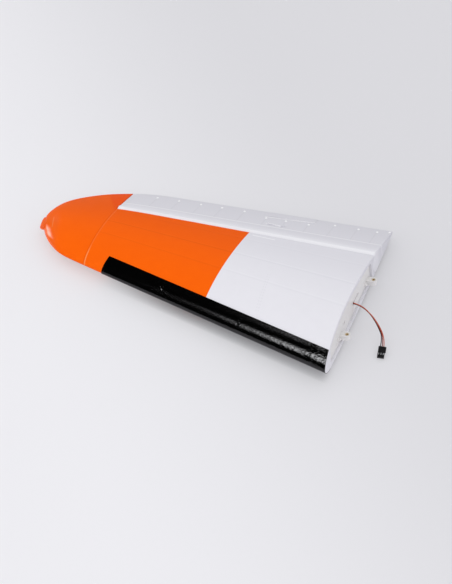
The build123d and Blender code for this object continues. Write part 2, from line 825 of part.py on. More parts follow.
# Tip light: a blunt-fronted fairing that sits on the rounded tip
light_front = Vector(root_x - panel_length + light_from_tip, tip_apex_y - light_forward, skin_z + tip_rise)
light_axis = Vector(-sin(radians(light_turn)), cos(radians(light_turn)), 0)
light_plane = Plane(light_front, x_dir=light_axis, z_dir=(0, 0, 1))
with BuildPart() as tip_light:
    with BuildSketch(light_plane):
        with BuildLine():
            Line((0, 0), (0, light_radius))
            EllipticalCenterArc((0, 0), light_length, light_radius, start_angle=0, arc_size=90)
            Line((light_length, 0), (0, 0))
        make_face()
    revolve(axis=Axis(light_front, light_axis))
    add(whole_panel.part, mode=Mode.SUBTRACT)

# Foam panel: the whole moulding less the aileron's bay, the cove and the pockets
with BuildPart() as wing_panel:
    add(whole_panel.part)
    add(plan_behind(cove_front, -bay_over, seam_station))
    extrude(amount=bay_height, mode=Mode.SUBTRACT)
    add(nose_cone(nose_gap, seam_station + aileron_end_gap), mode=Mode.SUBTRACT)
    for station in hinge_stations:
        add(
            box_across(
                station, -leaf_width / 2, leaf_width / 2, -hinge_seat, 0, -leaf_thickness / 2, leaf_thickness / 2
            ),
            mode=Mode.SUBTRACT,
        )
    add(
        box_across(0, pocket_inboard, pocket_outboard, pocket_front, pocket_rear, -pocket_depth, pocket_top),
        mode=Mode.SUBTRACT,
    )
    with BuildSketch(hatch_plane.offset(hatch_thickness)):
        RectangleRounded(hatch_length + 2 * hatch_fit, hatch_width + 2 * hatch_fit, hatch_corner + hatch_fit)
    extrude(amount=-pocket_depth, mode=Mode.SUBTRACT)
    with BuildSketch(hatch_plane.offset(screw_length)):
        with GridLocations(*hatch_screw_grid, 2, 2):
            Circle(screw_radius)
    extrude(amount=-screw_length, mode=Mode.SUBTRACT)
    extrude(rib_face(0), amount=-rib_back, dir=root_plane.z_dir, mode=Mode.SUBTRACT)
    with BuildSketch(root_plane):
        with Locations(*tongue_centres):
            Rectangle(tongue_width, tongue_thickness)
    extrude(amount=-rib_back - tongue_root, mode=Mode.SUBTRACT)
    with BuildSketch(Plane.YZ.offset(root_x)):
        with Locations((spar_y, skin_z + spar_height)):
            Circle(spar_radius + lead_fit / 3)
    extrude(amount=spar_start - spar_length - root_x, mode=Mode.SUBTRACT)
    with BuildSketch(Plane(lead_start, z_dir=lead_axis)):
        Circle(lead_radius + lead_fit)
    extrude(amount=lead_buried_length, mode=Mode.SUBTRACT)

# Trim tab and its link's fairing, raised from the aileron's skin


def raised_patch(front_edge, rear_edge, inboard, outboard, rise):
    """Upper skin between two edges and two stations, raised by an even height."""
    with BuildPart() as patch:
        for station in (inboard, outboard):
            add(draw_section(station, rise))
        loft(ruled=True)
        with BuildSketch(Plane.XY.offset(skin_z + lower_height(inboard, trailing_edge(inboard)))):
            Polygon(
                (root_x - inboard, front_edge(inboard)),
                (root_x - inboard, rear_edge(inboard)),
                (root_x - outboard, rear_edge(outboard)),
                (root_x - outboard, front_edge(outboard)),
                align=None,
            )
        extrude(amount=bay_height, mode=Mode.INTERSECT)
    return patch.part


fairing_inboard = (tab_inboard + tab_outboard) / 2
trim_tab = raised_patch(
    lambda station: trailing_edge(station) - tab_chord, trailing_edge, tab_inboard, tab_outboard, tab_rise
)
link_fairing = raised_patch(
    lambda station: hinge_y(station) + fairing_aft,
    lambda station: hinge_y(station) + fairing_aft + fairing_width,
    fairing_inboard,
    fairing_inboard + fairing_length,
    fairing_height,
)

# Aileron: what lies behind the hinge line, with its round nose, notches and seats
aileron_outboard = seam_station - aileron_end_gap
notch_reach = nose_radius(0) + 2
notch_rise = notch_reach * tan(radians(notch_angle))
with BuildPart() as aileron:
    add(whole_panel.part)
    add(plan_behind(hinge_y, -bay_over, seam_station))
    extrude(amount=bay_height, mode=Mode.INTERSECT)
    add(nose_cone(0, seam_station + bay_over))
    with BuildSketch():
        with Locations((root_x - aileron_outboard / 2 + bay_over / 2, 0)):
            Rectangle(aileron_outboard + bay_over, 2 * root_chord)
    extrude(amount=bay_height, mode=Mode.INTERSECT)
    split(bisect_by=root_plane, keep=Keep.BOTTOM)
    add(trim_tab)
    add(link_fairing)
    for setback, stations in pip_rows:
        for station in stations:
            place = (root_x - station, trailing_edge(station) - setback)
            skin = skin_z + upper_height(station, place[1])
            with BuildSketch(Plane.XY.offset(skin + pip_height)):
                with Locations(place):
                    Circle(pip_radius)
            extrude(amount=-4 * pip_height)
    for station in hinge_stations:
        with BuildSketch(across_hinge(station + leaf_width / 2 + knuckle_gap)):
            Circle(knuckle_radius + knuckle_gap)
            Polygon((0, 0), (-notch_reach, notch_rise), (-notch_reach, -notch_rise), align=None)
        extrude(amount=leaf_width + 2 * knuckle_gap, mode=Mode.SUBTRACT)
        add(
            box_across(station, -leaf_width / 2, leaf_width / 2, 0, leaf_grip, -leaf_thickness / 2, leaf_thickness / 2),
            mode=Mode.SUBTRACT,
        )
    with BuildSketch(across_hinge(aileron_rod_outboard, aileron_spar_offset)):
        Circle(aileron_spar_radius)
    extrude(amount=aileron_rod_outboard - aileron_rod_inboard, mode=Mode.SUBTRACT)
    add(
        box_across(
            rod_station,
            -horn_base_width / 2,
            horn_base_width / 2,
            horn_front,
            horn_rear,
            horn_seat - pocket_depth,
            horn_seat,
        ),
        mode=Mode.SUBTRACT,
    )
    for side, aft in horn_screw_places:
        with BuildSketch(facing(across_hinge(rod_station + side, aft, horn_seat), hinge_up)):
            Circle(screw_radius)
        extrude(amount=horn_screw_length - horn_base_thickness, mode=Mode.SUBTRACT)

pieces = {
    "wing_panel": wing_panel,
    "aileron": aileron,
    "leading_edge_boot": leading_edge_boot,
    "tip_light": tip_light,
    "root_rib": root_rib,
    "front_insert": front_insert,
    "rear_insert": rear_insert,
    "main_spar": main_spar,
    "aileron_rod": aileron_rod,
    "hinge_fixed_leaves": hinge_fixed_leaves,
    "hinge_moving_leaves": hinge_moving_leaves,
    "hinge_pins": hinge_pins,
    "servo_hatch": servo_hatch,
    "hatch_screws": hatch_screws,
    "servo_base_cover": servo_base_cover,
    "servo_case": servo_case,
    "servo_case_lid": servo_case_lid,
    "servo_screws": servo_screws,
    "servo_shaft": servo_shaft,
    "servo_arm": servo_arm,
    "servo_arm_screw": servo_arm_screw,
    "pushrod": pushrod,
    "clevis": clevis,
    "clevis_keeper": clevis_keeper,
    "control_horn": control_horn,
    "horn_screws": horn_screws,
    "lead_in_wing": lead_in_wing,
    "servo_lead": servo_lead,
    "lead_connector": lead_connector,
    "connector_contacts": connector_contacts,
}
for name, piece in pieces.items():
    piece.part.label = name
    export_step(piece.part, f"parts/{name}.step")
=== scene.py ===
"""Looks for the outer wing panel of a moulded-foam model aeroplane: skins, boot, rib, servo lead, stage."""

import math

import bpy
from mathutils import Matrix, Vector


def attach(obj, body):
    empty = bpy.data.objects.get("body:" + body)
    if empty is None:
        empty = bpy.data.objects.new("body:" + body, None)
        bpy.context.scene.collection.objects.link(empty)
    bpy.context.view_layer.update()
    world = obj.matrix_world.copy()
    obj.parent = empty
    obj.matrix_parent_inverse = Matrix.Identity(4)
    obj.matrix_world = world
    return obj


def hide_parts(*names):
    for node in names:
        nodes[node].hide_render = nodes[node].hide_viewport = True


bl_info = {
    "name": "Foam Wing Panel",
    "version": (1, 0, 0),
    "blender": (4, 5, 0),
    "location": "View3D > Sidebar > Wing Panel",
    "description": "Dresses the outer wing panel of a model aeroplane and sets its stage",
    "category": "Object",
}

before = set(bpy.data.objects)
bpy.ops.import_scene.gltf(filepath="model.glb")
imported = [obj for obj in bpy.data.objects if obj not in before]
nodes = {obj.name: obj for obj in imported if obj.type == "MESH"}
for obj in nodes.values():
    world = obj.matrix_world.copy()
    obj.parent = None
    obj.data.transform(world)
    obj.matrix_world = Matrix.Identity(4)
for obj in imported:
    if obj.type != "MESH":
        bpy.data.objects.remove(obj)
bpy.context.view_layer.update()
bpy.ops.object.select_all(action="DESELECT")

# All places are in metres. A station is a distance outboard of the root. The panel's straight edges
# have their y at the root and its change per metre of station.
ROOT_X = 0.19747
LEADING_EDGE = (-0.130, 0.22)
TRAILING_EDGE = (0.130, -0.117)
HINGE_LINE = (0.0634, -0.0646)

# The skin of moulded foam: faint clouds in its colour, beads about 3 mm wide, and long soft waves
FOAM_CLOUD = 0.012
BEAD_SIZE = 0.0032
BEAD_HEIGHT = 0.00002
WAVE_SIZE = 0.045
WAVE_HEIGHT = 0.0004

# Marks of the painted panel. A groove has its middle and half its width, and a fade has the places
# where it is 0 and 1. A mark that leans across the chord is met where station + lean * y is its place.
MASKING_LEAN = 0.045
MASKING_EDGE = (0.1564, 0.1568)
# Where the painted shade towards the hinge line begins and where it is full, as shares of the chord
AFT_PAINTED_SHADE = (0.25, 0.72)
LAP_LINES = ((0.30, 0.5), (0.455, 1.0), (0.61, 1.0))  # Share of the chord, and strength
# A lap line's crest carries a painted highlight, and its foot ahead of it a painted shade
LAP_CREST = (0.004, 0.0055)
LAP_FOOT = (-0.007, 0.0075)
LAPS_END = (0.3220, 0.3205)
CREST_HEIGHT = 0.00003
TIP_SEAM = (0.3225, 0.0012)
SEAM_DEPTH = 0.00025
# A painted highlight along the ridge beside the tip seam, stronger near the leading edge
TIP_RIDGE = (0.3212, 0.0011)
RIDGE_STRENGTH = 0.12
RIDGE_FRONT = (0.16, 0.04)
RIDGE_FRONT_STRENGTH = 0.5
# Painted shade in the tip's corner beside the aileron's end
TIP_CORNER_LEAN = -0.646
TIP_CORNER = (0.3035, 0.2995)
TIP_START = (0.3215, 0.3235)
VENT_LEAN = -0.105
VENT_ROWS = (0.1045, 0.1071)
VENT_HALF_WIDTH = 0.0008
VENT_PITCH = 0.0042
DOT_EDGE = (-0.2, 0.5)
VENT_SPAN = (-0.083, -0.028)
SCRATCH = (0.0427, 0.0008)
SCRATCH_SPAN = (0.121, 0.148)
LENS_LEAN = -0.344
LENS_EDGE = (0.3770, 0.3850)
LENS_FRONT = (0.010, -0.012)
LENS_RIM = (0.3886, 0.0009)
LENS_RIM_SPAN = (-0.018, -0.003)
LENS_SPLIT_LEAN = 2.23
LENS_SPLIT = (0.3309, 0.0024)
LENS_SPLIT_SPAN = (0.3880, 0.4000)
LENS_SPLIT_DULLING = 0.75

# Marks of the aileron. One that leans along the span is met where y + lean * station is its place.
AILERON_LAP_LEAN = 0.092
AILERON_LAP = (0.0857, 0.0009)
AILERON_LAP_HEIGHT = 0.00015
RIB_STATIONS = (0.0173, 0.0405, 0.0685, 0.0975, 0.125, 0.149, 0.1794, 0.2077, 0.2342, 0.262, 0.2893)
RIB_HALF_WIDTH = 0.0010
RIB_DEPTH = 0.00012
RIBS_BEHIND_LAP = (0.0855, 0.0875)
RIBS_AHEAD_OF_EDGE = (0.010, 0.012)
# Painted shade that darkens the aileron behind its nose and again towards its thin edge
NOSE_PAINTED_SHADE = (0.001, 0.016)
EDGE_PAINTED_SHADE = (0.016, 0.075)
# A painted highlight on the aileron's rounded nose, just behind the hinge line
NOSE_PAINTED_HIGHLIGHT = (-0.0045, 0.0)
NOSE_PAINTED_HIGHLIGHT_START = (0.003, 0.006)
# The raised step and lip have painted highlights along their edges
STEP_LEAN = 0.173
STEP = (0.1236, 0.0009)
STEP_SPAN = (0.092, 0.151)
LIP_LEAN = -0.023
LIP = (0.0763, 0.0009)
LIP_SPAN = (0.127, 0.144)
# Each pip carries a painted highlight
PIP_RADIUS = 0.0018
PIP_FLAT = 0.6 * PIP_RADIUS
PIPS = (  # Distance ahead of the trailing edge, and stations
    (0.0100, (0.0166, 0.0391, 0.0679, 0.1794, 0.2077, 0.2342, 0.2620, 0.2893)),
    (0.0197, (0.0970, 0.1249, 0.1493)),
    (0.0054, (0.0028,)),
)

# The boot's film, which wrinkles more towards the root and is crumpled at its end there
MEAN_CHORD = 0.18
WRINKLED = (0.17, 0.004)
WRINKLE_GROWTH = 1.2
CRUMPLED = (0.040, 0.008)
BUBBLE_FLAT = 0.0002
BUBBLES = (  # Station, share of the chord, radius and height
    (0.216, 0.038, 0.0026, 0.0006),
    (0.112, 0.031, 0.0032, 0.0008),
    (0.246, 0.069, 0.0018, 0.0002),
)

# The servo lead: a flat ribbon of three wires that turns from its edge to its flat side on its way
LEAD_ROUTE = (
    (0.19302, -0.01900, 0.02479),
    (0.20202, -0.01910, 0.02482),
    (0.21620, -0.02530, 0.02080),
    (0.22800, -0.03370, 0.01430),
    (0.23740, -0.04560, 0.01000),
    (0.23927, -0.05650, 0.00660),
)
WIRE_SIDES = 12
# The step from wire to wire, in wire widths, and what it grows by at the plug
WIRE_STEP = 0.94
FAN = 0.9
# Shares of the lead's length
FAN_START = 0.8
TURN_START = 0.35
TURN_LENGTH = 0.6
RIB_TURN = math.radians(112)
WIRES = (
    ("wire_brown", "#3A1A12", "#2A120C"),
    ("wire_red", "#90281C", "#802016"),
    ("wire_orange", "#CC664A", "#BA5A40"),
)

# The stage
CAMERA_PLACE = (0.4856, -1.1827, 1.1337)
CAMERA_TURN = (math.radians(47.5), 0, math.radians(21.0))
FOCAL_LENGTH = 88.77
KEY_PLACE = (-0.95, -1.35, 1.7)
KEY_SIZE = 2.4
KEY_POWER = 7.0
# The dome lights the object, and the room is what gloss and metal show
DOME_COLOUR = (0.97, 0.972, 1.0, 1)
DOME_FALL = 0.15
ROOM_COLOUR = (0.97, 0.97, 1.0, 1)
WALL_EDGE = (0.45, 0.80)
WALL_LEVEL = 0.4
# The paper's glow, which falls off to the right, and the share of it that the camera sees
PAPER_GLOW = (0.985, 0.985, 1.0, 1)
GLOW_LEVEL = 0.92
GLOW_LEAN = 0.9
GLOW_SPAN = (-0.35, 0.35)
GLOW_FALL = 0.26
GLOW_SHARE = 0.52
# Painted shadow in the paper's glow, close under the front edge
CONTACT_REACH = 0.014
CONTACT_START = (-0.12, 0.02)
CONTACT_END = (0.202, 0.186)
# Lit areas of the room, as the fades that bound them along the axes of a direction, and their strength
LIT_AREAS = (
    (((0, -0.552, -0.468), (0, -0.30, -0.40), (1, -0.25, -0.35), (2, 0.49, 0.57), (2, 0.74, 0.64)), 17.0),
    (((0, -0.80, -0.85), (1, 0.04, 0.10), (1, 0.38, 0.30), (2, 0.14, 0.20), (2, 0.48, 0.40)), 7.0),
    (((0, -0.43, -0.39), (0, -0.30, -0.36), (1, -0.24, -0.16), (1, -0.02, -0.08)), 4.0),
)


def linear(hex_colour):
    """Turn an sRGB hex colour into the linear colour that a shader takes."""
    channels = [int(hex_colour[k : k + 2], 16) / 255 for k in (1, 3, 5)]
    return [c / 12.92 if c <= 0.04045 else ((c + 0.055) / 1.055) ** 2.4 for c in channels] + [1.0]


def hue(name):
    """One of the colours that a user can change, as a shader takes it."""
    return linear(getattr(bpy.context.scene.wing_panel_looks, name))


class Marks:
    """Marks worked out in a node tree. Each is 1 where it shows and 0 elsewhere."""

    def __init__(self, tree):
        self.tree = tree
        self.tree.nodes.clear()

    def add(self, kind, sockets=None, **settings):
        """Add a shader node with its settings, and feed its sockets from values or from other sockets."""
        made = self.tree.nodes.new(kind)
        for name, value in settings.items():
            setattr(made, name, value)
        for socket, value in (sockets or {}).items():
            if isinstance(value, bpy.types.NodeSocket):
                self.tree.links.new(value, made.inputs[socket])
            else:
                made.inputs[socket].default_value = value
        return made

    def total(self, base, *weighted):
        """A base plus each value times its weight."""
        for value, weight in weighted:
            sockets = {0: value, 1: weight, 2: base}
            base = self.add("ShaderNodeMath", sockets, operation="MULTIPLY_ADD").outputs[0]
        return base

    def product(self, first, *others):
        """All the values multiplied, so that a mark is left where all of them show."""
        for other in others:
            first = self.add("ShaderNodeMath", {0: first, 1: other}, operation="MULTIPLY").outputs[0]
        return first

    def highest(self, first, *others):
        """The highest of the values, so that a mark is left where any of them shows."""
        for other in others:
            first = self.add("ShaderNodeMath", {0: first, 1: other}, operation="MAXIMUM").outputs[0]
        return first

    def fade(self, value, clear, full):
        """0 up to clear and 1 past full, whichever of the two places is the higher."""
        sockets = {"Value": value, "From Min": clear, "From Max": full}
        return self.add("ShaderNodeMapRange", sockets, interpolation_type="SMOOTHSTEP").outputs[0]

    def between(self, value, start, end, soft):
        """1 from start to end, with soft ends outside them."""
        return self.product(self.fade(value, start - soft, start), self.fade(value, end + soft, end))

    def groove(self, value, middle, half_width):
        """1 in a groove's middle and 0 outside it."""
        away = self.total(-middle, (value, 1.0))
        away = self.add("ShaderNodeMath", {0: away}, operation="ABSOLUTE").outputs[0]
        return self.fade(away, half_width, half_width * 0.3)

    def spot(self, along, across, flat, radius):
        """1 on the flat middle of a round spot and 0 outside its radius."""
        squares = self.total(self.product(along, along), (across, across))
        away = self.add("ShaderNodeMath", {0: squares}, operation="SQRT").outputs[0]
        return self.fade(away, radius, flat)


class Finish(Marks):
    """A material whose pattern is drawn on Object coordinates, so its sizes are real metres."""

    def __init__(self, name):
        self.material = bpy.data.materials.new(name)
        self.material.use_nodes = True
        super().__init__(self.material.node_tree)
        coordinates = self.add("ShaderNodeTexCoord").outputs
        self.place = coordinates["Object"]
        self.facing = coordinates["Normal"]

    def axes(self):
        """The surface's x, y and z."""
        return self.add("ShaderNodeSeparateXYZ", {0: self.place}).outputs[:3]

    def upper_side(self):
        """1 where the surface faces up and 0 on the underside."""
        upward = self.add("ShaderNodeSeparateXYZ", {0: self.facing}).outputs[2]
        return self.fade(upward, -0.1, 0.1)

    def clouds(self, size, detail=3.0, stretch=(1, 1, 1)):
        """Noise whose features are about size metres across."""
        mapped = self.add("ShaderNodeMapping", {"Vector": self.place, "Scale": stretch}).outputs[0]
        sockets = {"Vector": mapped, "Scale": 1 / size, "Detail": detail}
        return self.add("ShaderNodeTexNoise", sockets).outputs[0]

    def grain(self, size, height, detail=2.0, stretch=(1, 1, 1)):
        """Heights of a grain, from its size across and its height in metres."""
        return self.product(self.clouds(size, detail, stretch), height)

    def tint(self, colour, other, *marks, strength=1.0):
        """A colour with another laid over it, at a strength, where all the marks show."""
        sockets = {0: self.product(*marks, strength), 6: colour, 7: other}
        return self.add("ShaderNodeMix", sockets, data_type="RGBA").outputs[2]

    def surface(self, colour, height, **sockets):
        """Finish with one Principled shader whose normals follow a height in metres."""
        raised = self.add("ShaderNodeBump", {"Height": height, "Distance": 1.0}).outputs[0]
        named = {"Base Color": colour, "Normal": raised}
        for key, value in sockets.items():
            named[key.replace("_", " ").title().replace("Ior", "IOR")] = value
        self.shader = self.add("ShaderNodeBsdfPrincipled", named).outputs[0]
        output = self.add("ShaderNodeOutputMaterial", {"Surface": self.shader})
        self.end = output.inputs["Surface"]
        return self.material


def foam_places(finish):
    """Station outboard of the root, share of the chord from the leading edge, and y."""
    x, y, _ = finish.axes()
    station = finish.total(ROOT_X, (x, -1.0))
    front, front_slope = LEADING_EDGE
    back, back_slope = TRAILING_EDGE
    behind = finish.total(y, (finish.total(front, (station, front_slope)), -1.0))
    chord = finish.total(back - front, (station, back_slope - front_slope))
    share = finish.add("ShaderNodeMath", {0: behind, 1: chord}, operation="DIVIDE").outputs[0]
    return station, share, y


def foam_grain(finish):
    """Height of the beads and the soft waves of a moulded foam skin."""
    sockets = {"Vector": finish.place, "Scale": 1 / BEAD_SIZE}
    beads = finish.add("ShaderNodeTexVoronoi", sockets).outputs["Distance"]
    return finish.total(0.0, (beads, BEAD_HEIGHT), (finish.clouds(WAVE_SIZE, detail=2.0), WAVE_HEIGHT))


def vent_rows(finish, station, y):
    """Two dotted rows that the mould's vents leave on the white foam."""
    leaning = finish.total(station, (y, VENT_LEAN))
    rows = finish.highest(*(finish.groove(leaning, row, VENT_HALF_WIDTH) for row in VENT_ROWS))
    turn = finish.product(y, 2 * math.pi / VENT_PITCH)
    dots = finish.add("ShaderNodeMath", {0: turn}, operation="SINE").outputs[0]
    return finish.product(rows, finish.fade(dots, *DOT_EDGE), finish.between(y, *VENT_SPAN, soft=0.002))


def tip_lens(finish, station, y):
    """The clear, glossy front of the tip light with its split line, and the bright rim round it."""
    outward = finish.total(station, (y, LENS_LEAN))
    lens = finish.product(finish.fade(outward, *LENS_EDGE), finish.fade(y, *LENS_FRONT))
    split = finish.groove(finish.total(station, (y, LENS_SPLIT_LEAN)), *LENS_SPLIT)
    split = finish.product(split, finish.between(outward, *LENS_SPLIT_SPAN, soft=0.001))
    rim = finish.product(finish.groove(outward, *LENS_RIM), finish.between(y, *LENS_RIM_SPAN, soft=0.003))
    return finish.product(lens, finish.total(1.0, (split, -LENS_SPLIT_DULLING))), rim


def painted_foam():
    """Expanded foam, steam moulded and sprayed: two satin colours over faint beads and moulded lines."""
    finish = Finish("moulded_foam_painted")
    station, share, y = foam_places(finish)
    upper = finish.upper_side()
    speckle = finish.clouds(FOAM_CLOUD, detail=4.0)
    paint = finish.fade(finish.total(station, (y, MASKING_LEAN)), *MASKING_EDGE)
    white = finish.tint(hue("white_shade"), hue("white"), speckle)
    orange = finish.tint(hue("orange_shade"), hue("orange"), speckle)
    colour = finish.tint(white, orange, paint)

    # Each lap line has a raised crest with a painted highlight, and ahead of it a foot of painted shade
    seam = finish.groove(station, *TIP_SEAM)
    crests, feet = [seam], [seam]
    for place, strength in LAP_LINES:
        shown = finish.product(finish.fade(station, *LAPS_END), strength)
        for lines, (shift, half_width) in ((crests, LAP_CREST), (feet, LAP_FOOT)):
            lines.append(finish.product(finish.groove(share, place + shift, half_width), shown))
    raised = finish.highest(*crests)
    painted_lap_shade_and_seam_line = finish.highest(*feet)
    height = finish.total(foam_grain(finish), (seam, -SEAM_DEPTH), (raised, CREST_HEIGHT))
    # Painted shade on the laps' feet with a darker tip seam line, and a painted highlight on the laps'
    # crests
    dark = finish.tint(linear("#DEDDE2"), linear("#E85600"), paint)
    light = finish.tint(linear("#FAFAFC"), linear("#FF741C"), paint)
    colour = finish.tint(colour, dark, painted_lap_shade_and_seam_line, strength=0.45)
    colour = finish.tint(colour, light, finish.total(raised, (seam, -1.0)), strength=0.22)

    # Painted shade: the panel darkens towards the hinge line, where its surface tilts away from the light
    aft = finish.tint(hue("painted_shade_white"), hue("painted_shade_orange"), paint)
    colour = finish.tint(colour, aft, finish.fade(share, *AFT_PAINTED_SHADE), strength=0.8)
    # A painted highlight on the ridge beside the tip seam, stronger near the leading edge
    ridge = finish.groove(station, *TIP_RIDGE)
    lit = finish.total(RIDGE_STRENGTH, (finish.fade(share, *RIDGE_FRONT), RIDGE_FRONT_STRENGTH))
    colour = finish.tint(colour, linear("#FFA868"), ridge, lit)
    colour = finish.tint(colour, linear("#C9C8CE"), vent_rows(finish, station, y), upper, strength=0.2)
    scratch = finish.product(finish.groove(y, *SCRATCH), finish.between(station, *SCRATCH_SPAN, soft=0.001))
    colour = finish.tint(colour, linear("#FFFFFF"), scratch, upper, strength=0.7)
    # Painted shade in the tip's corner beside the aileron's end
    corner = finish.fade(finish.total(station, (y, TIP_CORNER_LEAN)), *TIP_CORNER)
    on_tip = finish.fade(station, *TIP_START)
    colour = finish.tint(colour, linear("#EE4A00"), corner, on_tip, strength=0.6)
    lens, rim = tip_lens(finish, station, y)
    colour = finish.tint(colour, linear("#FFA060"), rim, strength=0.4)
    return finish.surface(
        colour,
        height,
        roughness=0.46,
        ior=1.45,
        specular_ior_level=0.06,
        coat_weight=lens,
        coat_roughness=0.16,
    )


def aileron_ribs(finish, station, lap_place, ahead):
    """Thin grooves across the aileron, from behind its lap line to a little ahead of its edge."""
    ribs = (finish.groove(station, place, RIB_HALF_WIDTH) for place in RIB_STATIONS)
    behind_lap = finish.fade(lap_place, *RIBS_BEHIND_LAP)
    off_edge = finish.fade(ahead, *RIBS_AHEAD_OF_EDGE)
    return finish.product(finish.highest(*ribs), behind_lap, off_edge)


def aileron_pips(finish, station, ahead):
    """The small round pips that the mould's vents leave ahead of the trailing edge."""
    pips = []
    for distance, places in PIPS:
        across = finish.total(-distance, (ahead, 1.0))
        for place in places:
            along = finish.total(-place, (station, 1.0))
            pips.append(finish.spot(along, across, PIP_FLAT, PIP_RADIUS))
    return finish.highest(*pips)


def white_foam():
    """Expanded foam, steam moulded: a satin white with the aileron's moulded ribs, lap line and pips, and
    painted shade and highlights.
    """
    finish = Finish("moulded_foam_white")
    station, _, y = foam_places(finish)
    upper = finish.upper_side()
    colour = finish.tint(hue("white_shade"), hue("white"), finish.clouds(FOAM_CLOUD, detail=4.0))
    edge, edge_slope = TRAILING_EDGE
    ahead = finish.total(edge, (station, edge_slope), (y, -1.0))
    lap_place = finish.total(y, (station, AILERON_LAP_LEAN))
    lap = finish.groove(lap_place, *AILERON_LAP)
    ribs = aileron_ribs(finish, station, lap_place, ahead)
    height = finish.total(foam_grain(finish), (ribs, -RIB_DEPTH), (lap, AILERON_LAP_HEIGHT))

    hinge, hinge_slope = HINGE_LINE
    aft = finish.total(y, (finish.total(hinge, (station, hinge_slope)), -1.0))
    # Painted shade: the aileron darkens behind its nose and again towards its thin edge
    colour = finish.tint(colour, hue("aileron_painted_shade"), finish.fade(aft, *NOSE_PAINTED_SHADE))
    colour = finish.tint(colour, hue("aileron_edge_painted_shade"), finish.fade(aft, *EDGE_PAINTED_SHADE))
    # Painted shade in the rib grooves
    colour = finish.tint(colour, hue("groove"), ribs, strength=0.06)
    # A painted highlight on the aileron's rounded nose, just behind the hinge line
    painted_nose_highlight = finish.between(aft, *NOSE_PAINTED_HIGHLIGHT, soft=0.0012)
    painted_nose_highlight = finish.product(painted_nose_highlight, finish.fade(station, *NOSE_PAINTED_HIGHLIGHT_START))
    # Painted highlights along the edges of the raised step and lip
    step = finish.groove(finish.total(y, (station, STEP_LEAN)), *STEP)
    step = finish.product(step, finish.between(station, *STEP_SPAN, soft=0.002))
    lip = finish.groove(finish.total(y, (station, LIP_LEAN)), *LIP)
    lip = finish.product(lip, finish.between(station, *LIP_SPAN, soft=0.002))
    edges = finish.product(finish.highest(step, lip), upper)
    # The pips get a painted highlight
    pips = finish.product(aileron_pips(finish, station, ahead), upper)
    # White laid on as painted highlights: on the nose, the step and lip edges, the lap line and the pips
    for mark, strength in ((painted_nose_highlight, 0.35), (edges, 0.8), (lap, 0.55), (pips, 0.85)):
        colour = finish.tint(colour, linear("#FFFFFF"), mark, strength=strength)
    return finish.surface(colour, height, roughness=0.5, ior=1.45, specular_ior_level=0.3)


def boot_film():
    """Gloss vinyl film wrapped by hand: near black, with the wrinkles and orange peel of stretching."""
    finish = Finish("gloss_film")
    station, share, _ = foam_places(finish)
    wrinkles = finish.grain(0.0020, 0.00007, detail=3.0, stretch=(0.6, 1, 1))
    growth = finish.total(1.0, (finish.fade(station, *WRINKLED), WRINKLE_GROWTH))
    creases = finish.grain(0.0038, 0.0005, stretch=(0.5, 1, 1))
    crumpled = finish.fade(station, *CRUMPLED)
    bubbles = []
    for place, where, radius, rise in BUBBLES:
        along = finish.total(-place, (station, 1.0))
        across = finish.product(finish.total(-where, (share, 1.0)), MEAN_CHORD)
        bubbles.append(finish.product(finish.spot(along, across, BUBBLE_FLAT, radius), rise))
    height = finish.total(
        finish.highest(*bubbles),
        (wrinkles, growth),
        (creases, crumpled),
        (finish.grain(0.0009, 0.00002), 1.0),
    )
    return finish.surface(hue("boot"), height, roughness=0.09, ior=1.5)


def moulded_nylon(name, colour, roughness):
    """Injection-moulded nylon: even and faintly cloudy, with the spark texture of its mould.

    That texture is finer than 0.1 mm, and is drawn at 0.7 mm so that it shows.
    """
    finish = Finish(name)
    shade = [channel * 0.90 for channel in colour[:3]] + [1.0]
    tone = finish.tint(shade, colour, finish.clouds(0.006, detail=2.0))
    return finish.surface(tone, finish.grain(0.0007, 0.00003), roughness=roughness, ior=1.52)


def turned_brass():
    """Turned brass: warm and a little tarnished.

    The marks of the tool are finer than 0.1 mm, and are drawn at 0.4 mm so that they show.
    """
    finish = Finish("turned_brass")
    tone = finish.tint(hue("brass_shade"), hue("brass"), finish.clouds(0.002))
    grain = finish.grain(0.0004, 0.00001, detail=1.0)
    return finish.surface(tone, grain, metallic=1.0, roughness=0.32)


def tinned_bronze():
    """Stamped and matt tin-plated bronze: pale, half as mirror-like as polished metal.

    The marks of the stamping are finer than 0.1 mm, and are drawn at 0.4 mm so that they show.
    """
    finish = Finish("tinned_bronze")
    tone = finish.tint(hue("steel"), linear("#ECECEE"), finish.clouds(0.001))
    grain = finish.grain(0.0004, 0.00001, detail=1.0)
    return finish.surface(tone, grain, metallic=0.55, roughness=0.28)


def drawn_steel():
    """Drawn and zinc-plated steel wire and screws: bright, with a slight cloud in the plating.

    The marks of the drawing are finer than 0.1 mm, and are drawn at 0.5 mm so that they show.
    """
    finish = Finish("zinc_plated_steel")
    tone = finish.tint(hue("steel_shade"), hue("steel"), finish.clouds(0.0015))
    grain = finish.grain(0.0005, 0.00001, stretch=(0.2, 1, 1))
    return finish.surface(tone, grain, metallic=1.0, roughness=0.3)


def carbon_tube():
    """Pultruded carbon tube: black, with fibres along its length.

    The fibres are far too fine to show, and are drawn as bundles 0.6 mm wide.
    """
    finish = Finish("pultruded_carbon")
    fibres = finish.clouds(0.0006, detail=2.0, stretch=(0.05, 1, 1))
    tone = finish.tint(linear("#111214"), linear("#26282B"), fibres)
    return finish.surface(tone, finish.product(fibres, 0.00003), roughness=0.35)


def soft_rubber():
    """Extruded silicone tube: dull and dark, its fine dust drawn at 0.6 mm so that it shows."""
    finish = Finish("silicone")
    tone = finish.tint(linear("#17181A"), linear("#232427"), finish.clouds(0.002))
    return finish.surface(tone, finish.grain(0.0006, 0.00003, detail=3.0), roughness=0.6)


def wire_insulation(name, colour, shade):
    """Extruded vinyl insulation: an even colour with a soft gloss, its fine grain drawn at 0.8 mm."""
    finish = Finish(name)
    tone = finish.tint(linear(shade), linear(colour), finish.clouds(0.003))
    return finish.surface(tone, finish.grain(0.0008, 0.00002), roughness=0.38)


